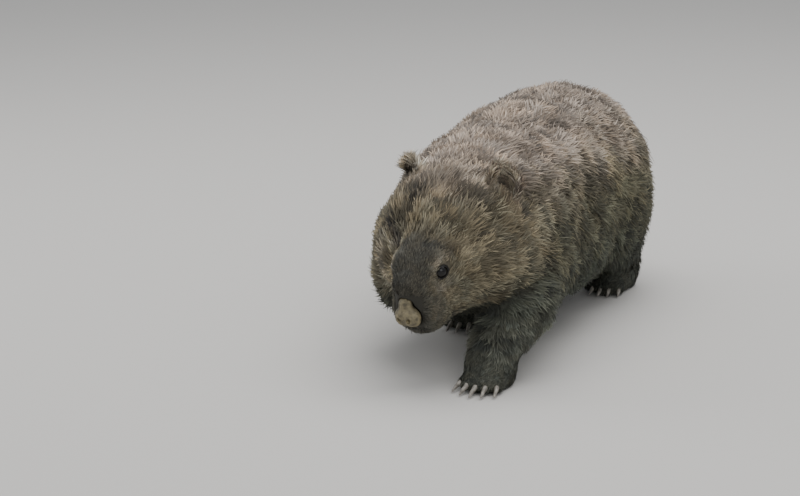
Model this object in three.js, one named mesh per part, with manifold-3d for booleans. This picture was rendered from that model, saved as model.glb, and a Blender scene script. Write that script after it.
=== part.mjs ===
// A life-size common wombat, standing in mid-walk with its head low, as a still museum model.
// Millimetres, +Z up. The animal faces -Y, its left side is +X, and it stands on z = 0.
// Flesh is one smooth surface, a blend of rounded masses, parted by thin cuts into head, neck, torso and legs.

import * as THREE from "three";
import { mergeVertices } from "three/addons/utils/BufferGeometryUtils.js";
import Module from "manifold-3d";

const wasm = await Module();
wasm.setup();

// Driving dimensions
const GAP = 0.3; // between two pieces that meet
const BACK_HEIGHT = 347; // top of the loins over the floor
const BELLY_HEIGHT = 60;
const HALF_WIDTH = 146; // at the hips
const SHOULDER_Y = -200; // places along the body
const HIP_Y = 205;
const RUMP_Y = 368;
const HEAD_TURN = THREE.MathUtils.degToRad(-12); // to the animal's right
const HEAD_PITCH = THREE.MathUtils.degToRad(29); // nose down
const HEAD_ROLL = THREE.MathUtils.degToRad(-3); // left side up
const BROW = { x: -6, y: -362, z: 193 }; // place of the point between the brows, where the head is measured from
const HEAD_BACK = 108; // from that point to the cut behind the ears
const NECK_BACK = -205; // the cut before the shoulders
const ANKLE = 50; // height of the cut between a foot and its leg
const EYE_RADIUS = 9.5;
const CLAW_LENGTH = { fore: 35, hind: 26 };

const V = (x, y, z) => new THREE.Vector3(x, y, z);
const mm = (a, b, t) => a + (b - a) * t;

// Distance fields: below zero inside. Each takes a point and gives about how far it is from a surface.
function ball(centre, radii) {
  return (p) => {
    const x = (p.x - centre.x) / radii.x;
    const y = (p.y - centre.y) / radii.y;
    const z = (p.z - centre.z) / radii.z;
    const near = Math.hypot(x, y, z);
    const slope = Math.hypot(x / radii.x, y / radii.y, z / radii.z);
    return slope < 1e-9 ? -Math.min(radii.x, radii.y, radii.z) : (near * (near - 1)) / slope;
  };
}

function limb(start, end, startRadius, endRadius) {
  const along = end.clone().sub(start);
  const length2 = along.lengthSq();
  return (p) => {
    const t = THREE.MathUtils.clamp(p.clone().sub(start).dot(along) / length2, 0, 1);
    return p.distanceTo(start.clone().addScaledVector(along, t)) - mm(startRadius, endRadius, t);
  };
}

function blend(softness, ...fields) {
  const join = (a, b) => {
    const h = Math.max(softness - Math.abs(a - b), 0) / softness;
    return Math.min(a, b) - (h * h * softness) / 4;
  };
  return (p) => fields.map((f) => f(p)).reduce(join);
}

const mirrored = (field) => (p) => field(V(Math.abs(p.x), p.y, p.z));

// How far from inside a field its surface is, along a direction.
function reach(field, from, direction) {
  let inside = 0;
  let outside = 0;
  for (let step = 0; step < 400; step++) {
    const d = field(from.clone().addScaledVector(direction, outside));
    if (d >= 0) break;
    inside = outside;
    outside += Math.max(1, -0.6 * d);
  }
  for (let halving = 0; halving < 14; halving++) {
    const middle = (inside + outside) / 2;
    if (field(from.clone().addScaledVector(direction, middle)) < 0) inside = middle;
    else outside = middle;
  }
  return (inside + outside) / 2;
}

// A station is a place inside the body with an axis, from which rays leave sideways, or leaning by an angle along the axis.
function station(centre, axis, lean = 0, side = null) {
  const w = axis.clone().normalize();
  const u = (side ?? V(1, 0, 0)).clone();
  u.addScaledVector(w, -u.dot(w)).normalize();
  return { centre, u, v: w.clone().cross(u), w, lean };
}

function ring(field, at, angles, grow) {
  return angles.map((angle) => {
    const flat = at.u.clone().multiplyScalar(Math.cos(angle)).addScaledVector(at.v, Math.sin(angle));
    const direction = flat.multiplyScalar(Math.cos(at.lean)).addScaledVector(at.w, Math.sin(at.lean));
    return at.centre.clone().addScaledVector(direction, reach(field, at.centre, direction) + grow);
  });
}

const evenly = (count) => Array.from({ length: count }, (_, i) => (2 * Math.PI * i) / count);

// A closed mesh over rings of points, ended by a point each.
function closed(rings, first, last) {
  const sides = rings[0].length;
  const points = [first, ...rings.flat(), last];
  const faces = [];
  for (let i = 0; i < sides; i++) {
    const j = (i + 1) % sides;
    faces.push(0, 1 + j, 1 + i);
    for (let r = 0; r < rings.length - 1; r++) {
      const a = 1 + r * sides;
      const b = a + sides;
      faces.push(a + i, a + j, b + j, a + i, b + j, b + i);
    }
    const end = 1 + (rings.length - 1) * sides;
    faces.push(points.length - 1, end + i, end + j);
  }
  return new THREE.BufferGeometry().setFromPoints(points).setIndex(faces);
}

const middle = (points) => points.reduce((sum, p) => sum.add(p), V(0, 0, 0)).divideScalar(points.length);

// Wraps a field in a closed mesh. Where the first or last station leans, that end is round, and otherwise it is a flat cut.
function wrap(field, stations, angles, grow = 0) {
  const rings = stations.map((at) => ring(field, at, angles, grow));
  const end = (at, points, sign) => {
    if (at.lean === 0) return middle(points);
    const out = at.w.clone().multiplyScalar(sign);
    return at.centre.clone().addScaledVector(out, reach(field, at.centre, out) + grow);
  };
  const last = stations.length - 1;
  return closed(rings, end(stations[0], rings[0], -1), end(stations[last], rings[last], 1));
}

// Stations fanned about one place, from sideways to nearly along the axis. sign is -1 for a fan at the start.
function fan(centre, axis, count, sign) {
  const leans = Array.from({ length: count }, (_, i) => ((i + 1) / (count + 1)) * (Math.PI / 2));
  if (sign < 0) leans.reverse();
  return leans.map((lean) => station(centre, axis, sign * lean));
}

// Solids that join and cut
function solid(geometry) {
  const bare = geometry.clone();
  bare.deleteAttribute("normal");
  bare.deleteAttribute("uv");
  const merged = mergeVertices(bare, 1e-4);
  const triVerts = new Uint32Array(merged.index.array);
  const make = () => new wasm.Manifold(new wasm.Mesh({ numProp: 3, vertProperties: merged.attributes.position.array, triVerts }));
  const made = make();
  if (made.volume() > 0) return made;
  for (let i = 0; i < triVerts.length; i += 3) [triVerts[i + 1], triVerts[i + 2]] = [triVerts[i + 2], triVerts[i + 1]];
  return make();
}

const largest = (made) => made.decompose().reduce((a, b) => (a.volume() > b.volume() ? a : b));

function geometryOf(made) {
  const mesh = largest(made).getMesh();
  const position = new Float32Array(mesh.numVert * 3);
  for (let i = 0; i < mesh.numVert; i++) position.set(mesh.vertProperties.subarray(i * mesh.numProp, i * mesh.numProp + 3), i * 3);
  return new THREE.BufferGeometry().setAttribute("position", new THREE.BufferAttribute(position, 3)).setIndex(new THREE.BufferAttribute(mesh.triVerts, 1));
}

const finish = (color, roughness) => new THREE.MeshStandardMaterial({ color, roughness, metalness: 0 });
const COAT = finish(0x6f6253, 0.95);
const FACE = finish(0x554c44, 0.95);
const PAW = finish(0x3b3733, 0.95);
const NOSE = finish(0x8a7f6c, 0.8);
const EYE = finish(0x120e0c, 0.08);
const CLAW = finish(0x8d877c, 0.45);

const wombat = new THREE.Group();
function add(name, made, material) {
  const mesh = new THREE.Mesh(geometryOf(made), material);
  mesh.name = name;
  wombat.add(mesh);
}

// The head's own frame has its origin between the brows, with the same axes as the body before it turns.
const headFrame = new THREE.Matrix4()
  .makeTranslation(BROW.x, BROW.y, BROW.z)
  .multiply(new THREE.Matrix4().makeRotationZ(HEAD_TURN))
  .multiply(new THREE.Matrix4().makeRotationX(HEAD_PITCH))
  .multiply(new THREE.Matrix4().makeRotationY(HEAD_ROLL));
const toHead = headFrame.clone().invert();
const inHead = (x, y, z) => V(x, y, z).applyMatrix4(headFrame);
const headWay = (x, y, z) => V(x, y, z).transformDirection(headFrame);

const headMasses = mirrored(
  blend(
    22,
    ball(V(0, 90, 0), V(83, 84, 58)), // cranium
    ball(V(0, 20, -4), V(42, 64, 36)), // forehead
    ball(V(52, 54, -45), V(47, 58, 55)), // cheek
    ball(V(0, 34, -70), V(62, 80, 37)), // jaw and throat
    limb(V(0, 4, -32), V(0, -42, -45), 40, 34), // muzzle
    ball(V(0, -32, -14), V(31, 46, 22)), // bridge of the nose
    ball(V(15, -56, -57), V(20, 23, 20)), // upper lip
    ball(V(0, -42, -78), V(24, 30, 13)), // chin
    ball(V(26, -18, 5), V(14, 17, 9)), // brow
  ),
);
const headField = (p) => headMasses(p.clone().applyMatrix4(toHead));

const trunkMasses = mirrored(
  blend(
    46,
    ball(V(0, -120, 198), V(124, 198, 118)), // chest
    ball(V(0, 60, (BACK_HEIGHT + BELLY_HEIGHT) / 2), V(HALF_WIDTH - 4, 235, (BACK_HEIGHT - BELLY_HEIGHT) / 2)), // ribs and belly
    ball(V(0, 212, 212), V(HALF_WIDTH, RUMP_Y - 195, 131)), // hips and rump
    limb(V(0, -150, 198), V(0, -236, 190), 124, 108), // neck
    ball(V(76, -10, 124), V(60, 210, 66)), // flank
    ball(V(86, SHOULDER_Y, 144), V(56, 88, 84)), // shoulder
    ball(V(94, HIP_Y, 144), V(60, 116, 98)), // haunch
  ),
);
const bodyField = blend(40, trunkMasses, headField);

// The line through the middle of the body, from the rump to the back of the head.
const spine = new THREE.CatmullRomCurve3([
  V(0, 240, 214),
  V(0, 100, 215),
  V(0, -60, 206),
  V(0, NECK_BACK, 198),
  inHead(0, HEAD_BACK, -40),
  inHead(0, HEAD_BACK - 72, -44),
]);
// Shares of the spine's length from the rump to the cuts before the shoulders and behind the ears
const NECK_SHARE = 0.752;
const HEAD_SHARE = 0.878;

function spineStation(share) {
  return station(spine.getPointAt(share), spine.getTangentAt(share));
}

const moved = (at, distance) => ({ ...at, centre: at.centre.clone().addScaledVector(at.w, distance) });
const NECK_CUT = spineStation(NECK_SHARE);
const HEAD_CUT = spineStation(HEAD_SHARE);

// A block that holds all that lies beyond a station's plane: ahead of it, or behind it where sign is -1
function beyond(at, sign) {
  const depth = 300;
  const place = at.centre.clone().addScaledVector(at.w, sign * (depth / 2 - 0.05));
  const frame = new THREE.Matrix4().makeBasis(at.u, at.v, at.w).setPosition(place);
  return solid(new THREE.BoxGeometry(600, 600, depth).applyMatrix4(frame));
}

// Torso
const TRUNK_SIDES = 40;
const TRUNK_RINGS = 19;
function trunkSkin(grow) {
  const rump = spineStation(0);
  const stations = fan(rump.centre, rump.w, 6, -1);
  const end = moved(NECK_CUT, grow);
  for (let i = 0; i < TRUNK_RINGS - 1; i++) stations.push(spineStation((NECK_SHARE * i) / (TRUNK_RINGS - 1)));
  return solid(wrap(bodyField, [...stations, end], evenly(TRUNK_SIDES), grow)).subtract(beyond(end, 1));
}
const torso = trunkSkin(0);
add("torso", torso, COAT);

// Neck
function neckSkin(grow) {
  const inner = [0.2, 0.4, 0.6, 0.8].map((t) => spineStation(mm(NECK_SHARE, HEAD_SHARE, t)));
  const stations = [moved(NECK_CUT, GAP - grow), ...inner, moved(HEAD_CUT, grow - GAP)];
  const skin = solid(wrap(bodyField, stations, evenly(TRUNK_SIDES), grow));
  return skin.subtract(beyond(stations[0], -1)).subtract(beyond(stations[5], 1));
}
add("neck", neckSkin(0), COAT);

// Head
const HEAD_SIDES = 44;
function headSkin(grow) {
  const back = moved(HEAD_CUT, -grow);
  const axis = headWay(0, -1, -0.12);
  const muzzle = inHead(0, -52, -42);
  const stations = [back];
  const rings = 18;
  for (let i = 1; i <= rings; i++) {
    const t = i / rings;
    const centre = back.centre.clone().lerp(muzzle, t);
    const turn = back.w.clone().lerp(axis, Math.min(1, 1.2 * t));
    stations.push(station(centre, turn));
  }
  stations.push(...fan(muzzle, axis, 8, 1));
  return solid(wrap(bodyField, stations, evenly(HEAD_SIDES), grow)).subtract(beyond(back, -1));
}

// Eyes, with a rim of lid round each
const EYE_SUNK = 5.5; // depth of the eye's centre under the face
const EYE_OUT = V(0.82, -0.52, 0.2);
function eyePlace(side) {
  const from = inHead(0, 2, -9);
  const way = headWay(side * 0.82, -0.55, 0.08);
  return from.addScaledVector(way, reach(bodyField, from, way) - EYE_SUNK);
}
function eyeBall(side, radius) {
  const centre = eyePlace(side);
  return solid(new THREE.SphereGeometry(radius, 16, 10).translate(centre.x, centre.y, centre.z));
}
function lids(side) {
  const rim = new THREE.TorusGeometry(EYE_RADIUS, 2.8, 6, 20).scale(1.12, 0.86, 1.2);
  const out = V(side * EYE_OUT.x, EYE_OUT.y, EYE_OUT.z).transformDirection(headFrame);
  const up = headWay(0, 0, 1);
  const across = up.clone().cross(out).normalize();
  const frame = new THREE.Matrix4().makeBasis(across, out.clone().cross(across), out);
  const place = eyePlace(side).addScaledVector(out, 3.2);
  return solid(rim.applyMatrix4(frame.setPosition(place)));
}

// Nose: the bare pad, with a fold over it and two nostrils
const noseField = mirrored(
  blend(
    9,
    ball(V(0, -79, -44), V(17, 12, 16)),
    ball(V(9, -81, -48), V(11, 10, 12)),
    ball(V(0, -74, -23), V(11, 9, 7)),
  ),
);
const noseInWorld = (p) => noseField(p.clone().applyMatrix4(toHead));
function nosePad(grow) {
  const centre = inHead(0, -80, -41);
  const axis = headWay(0, -1, 0);
  const stations = [...fan(centre, axis, 5, -1), station(centre, axis), ...fan(centre, axis, 6, 1)];
  return solid(wrap(noseInWorld, stations, evenly(26), grow));
}
function nostril(side) {
  const hole = new THREE.SphereGeometry(1, 10, 8).scale(3, 9, 4.6);
  const tilt = new THREE.Matrix4().makeRotationY(side * 0.5);
  return solid(hole.applyMatrix4(tilt).translate(side * 8, -93, -44).applyMatrix4(headFrame));
}

// A thin blade along a line on the head's surface, which cuts a groove in it.
function groove(directions, centre, width, depth) {
  const rings = directions.map((direction, i) => {
    const t = i / (directions.length - 1);
    const half = (width / 2) * Math.max(0.12, Math.sin(Math.PI * t) ** 0.4);
    const out = reach(bodyField, centre, direction);
    const before = directions[Math.max(0, i - 1)];
    const after = directions[Math.min(directions.length - 1, i + 1)];
    const across = after.clone().sub(before).cross(direction).normalize().multiplyScalar(half);
    const deep = centre.clone().addScaledVector(direction, out - depth);
    const high = centre.clone().addScaledVector(direction, out + depth);
    return [deep.clone().sub(across), high.clone().sub(across), high.clone().add(across), deep.clone().add(across)];
  });
  return solid(closed(rings, middle(rings[0]), middle(rings[rings.length - 1])));
}
function mouth() {
  const centre = inHead(0, -36, -64);
  const turns = Array.from({ length: 25 }, (_, i) => THREE.MathUtils.degToRad(-104 + (208 * i) / 24));
  const dip = (turn) => -0.2 + 0.1 * Math.cos(2 * turn);
  return groove(turns.map((turn) => headWay(Math.sin(turn), -Math.cos(turn), dip(turn))), centre, 2.4, 5);
}
function cleft() {
  const centre = inHead(0, -48, -58);
  const falls = [0.1, -0.05, -0.2, -0.32];
  return groove(falls.map((fall) => headWay(0, -1, fall)), centre, 2.6, 5);
}

let head = headSkin(0);
for (const side of [1, -1]) head = head.add(lids(side));
for (const side of [1, -1]) head = head.subtract(eyeBall(side, EYE_RADIUS + GAP));
head = head.subtract(nosePad(GAP + 0.15)).subtract(mouth()).subtract(cleft());
add("head", head, FACE);
for (const [name, side] of [["eye_left", 1], ["eye_right", -1]]) add(name, eyeBall(side, EYE_RADIUS), EYE);
add("nose", nosePad(0).subtract(nostril(1)).subtract(nostril(-1)), NOSE);

// Ears: a thick-furred cup each, open forwards and outwards
const EAR_SIZE = V(28, 15, 36);
const EAR_PLACE = V(75, 122, 34);
const headAndNeck = headSkin(GAP + 0.2).add(neckSkin(GAP + 0.2));
function leaf(size) {
  const shape = new THREE.SphereGeometry(1, 20, 14).rotateX(Math.PI / 2);
  const at = shape.getAttribute("position");
  for (let i = 0; i < at.count; i++) {
    const z = at.getZ(i);
    const taper = 1 - 0.22 * Math.max(0, z);
    at.setXYZ(i, at.getX(i) * size.x * taper, at.getY(i) * size.y, z * size.z);
  }
  return shape;
}
function ear(side) {
  const frame = headFrame
    .clone()
    .multiply(new THREE.Matrix4().makeTranslation(side * EAR_PLACE.x, EAR_PLACE.y, EAR_PLACE.z))
    .multiply(new THREE.Matrix4().makeRotationY(side * 0.16))
    .multiply(new THREE.Matrix4().makeRotationZ(side * 0.62))
    .multiply(new THREE.Matrix4().makeRotationX(-0.2));
  const shell = solid(leaf(EAR_SIZE).applyMatrix4(frame));
  const hollow = leaf(V(EAR_SIZE.x * 0.66, EAR_SIZE.y * 1.15, EAR_SIZE.z * 0.72)).translate(0, -9, 4);
  return shell.subtract(solid(hollow.applyMatrix4(frame))).subtract(headAndNeck);
}
add("ear_left", ear(1), COAT);
add("ear_right", ear(-1), COAT);

// Legs and feet. Each foot is a low dome with toes; rings lie level, closer together in angle where the toes are.
const grownTorso = trunkSkin(GAP + 0.2);
const grownTrunk = grownTorso.add(headAndNeck);
const LEGS = [
  { name: "foreleg_left", foot: V(80, -330, 0), knee: V(96, -248, 104), root: V(92, SHOULDER_Y - 6, 168), kind: "fore" },
  { name: "foreleg_right", foot: V(-58, -38, 0), knee: V(-84, -122, 98), root: V(-90, SHOULDER_Y + 14, 168), kind: "fore" },
  { name: "hindleg_left", foot: V(92, 250, 0), knee: V(98, 214, 104), root: V(96, HIP_Y, 170), kind: "hind" },
  { name: "hindleg_right", foot: V(-80, 118, 0), knee: V(-96, 158, 104), root: V(-96, HIP_Y - 20, 170), kind: "hind" },
];
const FOOT = {
  fore: { length: 44, width: 34, height: 34, heel: 4, reach: 42, wrist: 34, top: 50 },
  hind: { length: 56, width: 33, height: 32, heel: 14, reach: 50, wrist: 34, top: 54 },
};
const TOES = [-2, -1, 0, 1, 2]; // from the inner side outwards
const TOE_SPACING = 13.5;
const TOE_FAN = 0.1; // angle between a toe and the next

// A toe's tip and way forward, in the foot's frame
function toe(leg, index) {
  const size = FOOT[leg.kind];
  const side = Math.sign(leg.foot.x);
  const tip = V(side * index * TOE_SPACING, -(size.reach - 2.6 * index * index), 11);
  return { tip, turn: side * index * TOE_FAN };
}

function footFrame(leg) {
  const turn = new THREE.Matrix4().makeRotationZ(Math.sign(leg.foot.x) * -0.06);
  return new THREE.Matrix4().makeTranslation(leg.foot.x, leg.foot.y, 0).multiply(turn);
}

function legField(leg) {
  const size = FOOT[leg.kind];
  const frame = footFrame(leg);
  const back = frame.clone().invert();
  const toes = TOES.map((index) => {
    const { tip } = toe(leg, index);
    return limb(V(tip.x * 0.75, -8, 15), tip, 12, 9.2);
  });
  const footMasses = blend(6, ball(V(0, size.heel, 14), V(size.width, size.length, size.height)), ...toes);
  const ankle = V(0, size.heel + 6, 44).applyMatrix4(frame);
  const bones = blend(30, limb(leg.root, leg.knee, size.top, 46), limb(leg.knee, ankle, 46, size.wrist));
  return blend(22, (p) => footMasses(p.clone().applyMatrix4(back)), bones);
}

// Rays from a foot's middle, close together over its toes
function footAngles(count) {
  return Array.from({ length: count }, (_, i) => {
    const t = (i / count) * 2 - 1;
    return -Math.PI / 2 + Math.PI * Math.sign(t) * Math.abs(t) ** 1.45;
  });
}

// A claw leaves its toe's tip forwards and bends down to the floor.
function claw(leg, index) {
  const { tip, turn } = toe(leg, index);
  const length = CLAW_LENGTH[leg.kind] * (1 - 0.06 * Math.abs(index));
  const rings = [0, 0.25, 0.5, 0.75, 0.94].map((t) => {
    const out = 1 + length * (t - 0.12 * t * t);
    const height = 1.5 - 9 * t ** 1.6;
    const thick = 4.6 * (1 - t) ** 0.55 + 0.8;
    return evenly(7).map((a) => V(Math.cos(a) * thick * 0.8, -out, Math.max(1 - tip.z, height + Math.sin(a) * thick)));
  });
  const end = middle(rings[4]).add(V(0, -1.2, -0.3));
  const place = footFrame(leg).multiply(new THREE.Matrix4().makeTranslation(tip.x, tip.y, tip.z));
  return solid(closed(rings, middle(rings[0]), end).applyMatrix4(place.multiply(new THREE.Matrix4().makeRotationZ(turn))));
}

for (const leg of LEGS) {
  const field = legField(leg);
  const foot = leg.foot.clone();
  const ankleCentre = V(0, FOOT[leg.kind].heel + 4, 0).applyMatrix4(footFrame(leg));
  const legPath = [ankleCentre.clone().setZ(ANKLE + GAP), leg.knee.clone().lerp(ankleCentre.clone().setZ(ANKLE), 0.45), leg.knee, leg.root];
  const curve = new THREE.CatmullRomCurve3(legPath);
  const up = V(0, 0, 1);
  const legStations = Array.from({ length: 9 }, (_, i) => station(curve.getPoint(i / 8), up));
  const limbSkin = solid(wrap(field, legStations, evenly(24)));
  add(leg.name, limbSkin.subtract(grownTrunk), COAT);

  const heights = [0, 4, 10, 17, 25, 33, 42, ANKLE];
  const footStations = heights.map((z) => station(foot.clone().lerp(ankleCentre, z / ANKLE).setZ(z), up));
  const angles = footAngles(46);
  const paw = solid(wrap(field, footStations, angles)).subtract(grownTrunk);
  const pawName = leg.name.replace("leg", "foot");
  const grownPaw = solid(wrap(field, footStations, angles, GAP + 0.1));
  // The small inner toe of the hind foot has no claw.
  const clawed = leg.kind === "fore" ? TOES : TOES.slice(1);
  clawed.forEach((index, i) => {
    add(pawName.replace("foot", "claw") + "_" + (i + 1), claw(leg, index).subtract(grownPaw), CLAW);
  });
  add(pawName, paw, PAW);
}

// Tail: a short stub low on the rump, nearly lost in the coat
const stub = new THREE.SphereGeometry(1, 14, 10).scale(15, 34, 14).rotateX(0.75).translate(0, 364, 152);
add("tail", solid(stub).subtract(grownTorso), COAT);

// The origin is the middle of the model's box, on the floor.
const box = new THREE.Box3().setFromObject(wombat);
wombat.position.set(-(box.min.x + box.max.x) / 2, -(box.min.y + box.max.y) / 2, 0);

export default wombat;
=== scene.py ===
# The looks of a life-size common wombat: one skin over the body, a coarse coat of solid tufts,
# a bare granular nose, dark eyes with lids, whiskers and long claws. Metres, +Z up, facing -Y.
import math

import bmesh
import bpy
import numpy as np
from mathutils import Matrix, Vector
from mathutils.bvhtree import BVHTree
from mathutils.kdtree import KDTree


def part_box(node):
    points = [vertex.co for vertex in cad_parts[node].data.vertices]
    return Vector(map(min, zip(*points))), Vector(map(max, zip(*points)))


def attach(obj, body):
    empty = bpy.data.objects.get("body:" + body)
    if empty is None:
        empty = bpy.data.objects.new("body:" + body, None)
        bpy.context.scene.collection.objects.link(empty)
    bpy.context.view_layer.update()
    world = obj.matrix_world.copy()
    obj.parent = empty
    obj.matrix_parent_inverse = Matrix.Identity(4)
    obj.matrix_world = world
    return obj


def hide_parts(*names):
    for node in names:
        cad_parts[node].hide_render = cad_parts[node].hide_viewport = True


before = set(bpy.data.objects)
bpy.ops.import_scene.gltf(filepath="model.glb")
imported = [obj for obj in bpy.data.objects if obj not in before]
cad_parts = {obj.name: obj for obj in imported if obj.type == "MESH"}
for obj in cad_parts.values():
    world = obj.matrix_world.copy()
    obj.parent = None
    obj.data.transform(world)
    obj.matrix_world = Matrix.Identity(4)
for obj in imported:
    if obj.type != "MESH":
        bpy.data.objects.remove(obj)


def write_size():
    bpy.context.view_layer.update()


write_size()

# Driving sizes, in metres. Further down, a pair of numbers gives the ends of a range.
VOXEL = 0.0034  # size of the skin's faces
FINE_REACH = 0.085  # the skin is finer within this distance of the nose
TUFTS = 98_000
TUFTS_IN_PIECE = 13_000
BLADES = 3  # in each tuft
GUARD_SHARE = 0.3  # of the tufts are long and pale
CLUMP_SPACING = 0.0135
PATCH = 0.003  # size of a tuft on its bake map
ABOVE_FLOOR = 0.0004  # the lowest that a hair reaches
SEED = 7

# The camera, matched to the photograph
CAMERA_AZIMUTH = math.radians(22.0)
CAMERA_HEIGHT_ANGLE = math.radians(14.13)
CAMERA_DISTANCE = 3.306
CAMERA_AIM = (-0.171, -0.055)  # to the right and up from the middle of the body
AIM_HEIGHT = 0.180
FOCAL_PIXELS = 2116.0
IMAGE_WIDTH = 800.0
SENSOR = 36.0

SIDES = ("left", "right")
BACKWARDS = np.array([0.0, 1.0, 0.0])
UPWARDS = np.array([0.0, 0.0, 1.0])
DOWNWARDS = np.array([0.0, 0.0, -1.0])

rng = np.random.default_rng(SEED)


def unit(v):
    return v / np.maximum(np.linalg.norm(v, axis=-1, keepdims=True), 1e-9)


def smooth_step(low, high, x):
    t = np.clip((x - low) / (high - low), 0.0, 1.0)
    return t * t * (3.0 - 2.0 * t)


def mix(a, b, t):
    t = np.asarray(t)[..., None] if np.ndim(a) > np.ndim(t) else t
    return a + (b - a) * t


NOISE_ORIGIN = 1000.0  # far from where the cells change sign
NOISE_SEED_STEP = 17.3
HASH = (73856093, 19349663, 83492791)
HASH_MIX = 1274126177


# Value noise from 0 to 1 over points, smooth over the given cell size
def noise(points, cell, seed):
    p = points / cell + NOISE_ORIGIN + NOISE_SEED_STEP * seed
    base = np.floor(p).astype(np.int64)
    part = p - base
    part = part * part * (3.0 - 2.0 * part)
    total = np.zeros(len(points))
    for corner in np.ndindex(2, 2, 2):
        at = base + corner
        mixed = at[:, 0] * HASH[0] ^ at[:, 1] * HASH[1] ^ at[:, 2] * HASH[2]
        mixed = (mixed ^ (mixed >> 13)) * HASH_MIX
        value = ((mixed ^ (mixed >> 16)) & 0xFFFF) / 65535.0
        weight = np.prod(np.where(np.array(corner), part, 1.0 - part), axis=1)
        total += value * weight
    return total


def middle_of(node):
    low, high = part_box(node)
    return (np.array(low) + np.array(high)) / 2.0


# The head's own axes: left, back and up. Its origin is between the brows, as in the solids.
HEAD_PITCH = math.radians(29.0)
EYES_IN_HEAD = np.array([0.0, -0.0258, -0.0038])
EYE_RADIUS = float(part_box("eye_left")[1].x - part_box("eye_left")[0].x) / 2.0
eye_place = {side: middle_of("eye_" + side) for side in SIDES}
head_left = unit(eye_place["left"] - eye_place["right"])
level_back = unit(np.cross(UPWARDS, head_left))
head_back = level_back * math.cos(HEAD_PITCH) + UPWARDS * math.sin(HEAD_PITCH)
head_back = unit(head_back - head_left * (head_back @ head_left))
head_up = np.cross(head_left, head_back)
HEAD_AXES = np.stack([head_left, head_back, head_up])
head_origin = (eye_place["left"] + eye_place["right"]) / 2.0 - EYES_IN_HEAD @ HEAD_AXES
nose_place = middle_of("nose")
ear_place = {side: middle_of("ear_" + side) for side in SIDES}


def in_head(points):
    return (points - head_origin) @ HEAD_AXES.T


def from_head(x, y, z):
    return head_origin + np.array([x, y, z]) @ HEAD_AXES


# Meshes and objects
def vertex_array(mesh, field):
    values = np.empty(len(mesh.vertices) * 3)
    mesh.vertices.foreach_get(field, values)
    return values.reshape(-1, 3)


def node_arrays(node):
    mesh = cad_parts[node].data
    return vertex_array(mesh, "co"), [tuple(face.vertices) for face in mesh.polygons]


# The points and faces of some nodes together, swollen a little so that pieces that meet also touch
def joined_arrays(nodes, swell=0.0):
    points, faces = [], []
    count = 0
    for node in nodes:
        co, polygons = node_arrays(node)
        points.append(co + swell * vertex_array(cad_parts[node].data, "normal"))
        faces += [tuple(i + count for i in face) for face in polygons]
        count += len(co)
    return np.vstack(points), faces


def in_scene(name, data):
    made = bpy.data.objects.new(name, data)
    bpy.context.scene.collection.objects.link(made)
    return made


def new_object(name, points, faces):
    mesh = bpy.data.meshes.new(name)
    mesh.from_pydata([tuple(p) for p in points], [], faces)
    mesh.update()
    return in_scene(name, mesh)


def only_active(made):
    bpy.ops.object.select_all(action="DESELECT")
    made.select_set(True)
    bpy.context.view_layer.objects.active = made


def apply_modifiers(made):
    evaluated = made.evaluated_get(bpy.context.evaluated_depsgraph_get())
    mesh = bpy.data.meshes.new_from_object(evaluated)
    made.modifiers.clear()
    made.data = mesh


# Groups of nodes that share a kind of coat, with the length of its hair and its depth over the skin
FEET = [f"{kind}foot_{side}" for kind in ("fore", "hind") for side in SIDES]
LEGS = [f"{kind}leg_{side}" for kind in ("fore", "hind") for side in SIDES]
GROUPS = {
    "torso": ["torso"],
    "neck": ["neck"],
    "head": ["head"],
    "ear": ["ear_left", "ear_right"],
    "leg": LEGS,
    "foot": FEET,
    "tail": ["tail"],
}
FLESH = [node for nodes in GROUPS.values() for node in nodes]
GROUP_LENGTH = {
    "torso": 0.033,
    "neck": 0.031,
    "ear": 0.012,
    "leg": 0.021,
    "foot": 0.009,
    "tail": 0.012,
}
GROUP_DEPTH = {
    "torso": 0.0115,
    "neck": 0.0110,
    "ear": 0.0018,
    "leg": 0.0070,
    "foot": 0.0024,
    "tail": 0.003,
}
MUZZLE_LENGTH = 0.0095
MUZZLE_DEPTH = 0.0022
HEAD_LENGTH = 0.031  # where the long coat of the head begins
HEAD_DEPTH = 0.0095
FRINGE = 0.35  # how much longer the coat is under the belly
FRINGE_HEIGHTS = (0.16, 0.07)
EAR_HAIR = 0.020  # length of the pale hair in the ears
CUP_EXTRA = 0.6  # how much longer the ears' hair is on the front
NEAR_EYE = (0.028, 0.012)  # distances from an eye's middle over which the hair gets shorter
NEAR_EYE_LENGTH_CUT = 0.5
NEAR_EYE_DEPTH_CUT = 0.8
BLEND_REACH = 0.014  # over which one group's coat turns into the next
SEARCH_REACH = 0.05  # a group further off has no share
LEAST_WEIGHT = 1e-6


# For each point, how much it belongs to each group, from its distance to the group's solids
def group_weights(points):
    weights = {}
    for group, nodes in GROUPS.items():
        near = np.full(len(points), 1.0)
        for node in nodes:
            co, polygons = node_arrays(node)
            tree = BVHTree.FromPolygons([tuple(p) for p in co], polygons)
            low, high = co.min(0) - SEARCH_REACH, co.max(0) + SEARCH_REACH
            for i in np.where(np.all((points > low) & (points < high), axis=1))[0]:
                found = tree.find_nearest(points[i])
                near[i] = min(near[i], found[3])
        weights[group] = np.exp(-((near / BLEND_REACH) ** 2)) + LEAST_WEIGHT
    total = sum(weights.values())
    return {group: weight / total for group, weight in weights.items()}


FACE_BACK = (-0.055, 0.06)
FACE_SIDE = (0.035, 0.075)
FACE_SIDE_BACK = (-0.04, 0.01)
FACE_SIDE_SHARE = 0.8
FACE_FROM_NOSE = (0.03, 0.11)


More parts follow.
